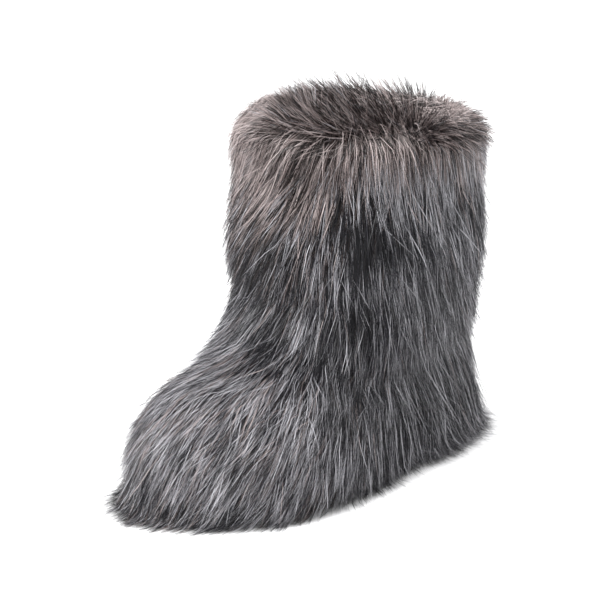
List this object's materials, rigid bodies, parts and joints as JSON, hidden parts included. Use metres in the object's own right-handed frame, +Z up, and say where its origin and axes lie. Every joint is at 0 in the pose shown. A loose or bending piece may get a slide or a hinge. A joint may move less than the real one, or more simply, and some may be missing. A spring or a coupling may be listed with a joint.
{
  "type": "snow boot",
  "caption": "Mid-calf left snow boot, hollow with a collar opening, on a moulded rubber sole and covered in long-pile faux fur.",
  "frame": {"origin": "on the floor, in the middle of the box round the whole boot", "axes": "+Z up, -Y towards the toe, +X towards the wearer's outer side"},
  "size_m": [0.203, 0.3368, 0.2753],
  "materials": {
    "rubber": "matte, fine grain",
    "footbed": "short fleece",
    "backing": "knitted backing with a fleece lining inside",
    "fur": "long-pile faux fur, charcoal with silver and taupe strands"
  },
  "bodies": {
    "root": {"outsole": "rubber", "insole": "footbed", "upper": "backing", "foot_fur": "fur", "shaft_fur": "fur", "collar_fur": "fur"}
  },
  "joints": []
}
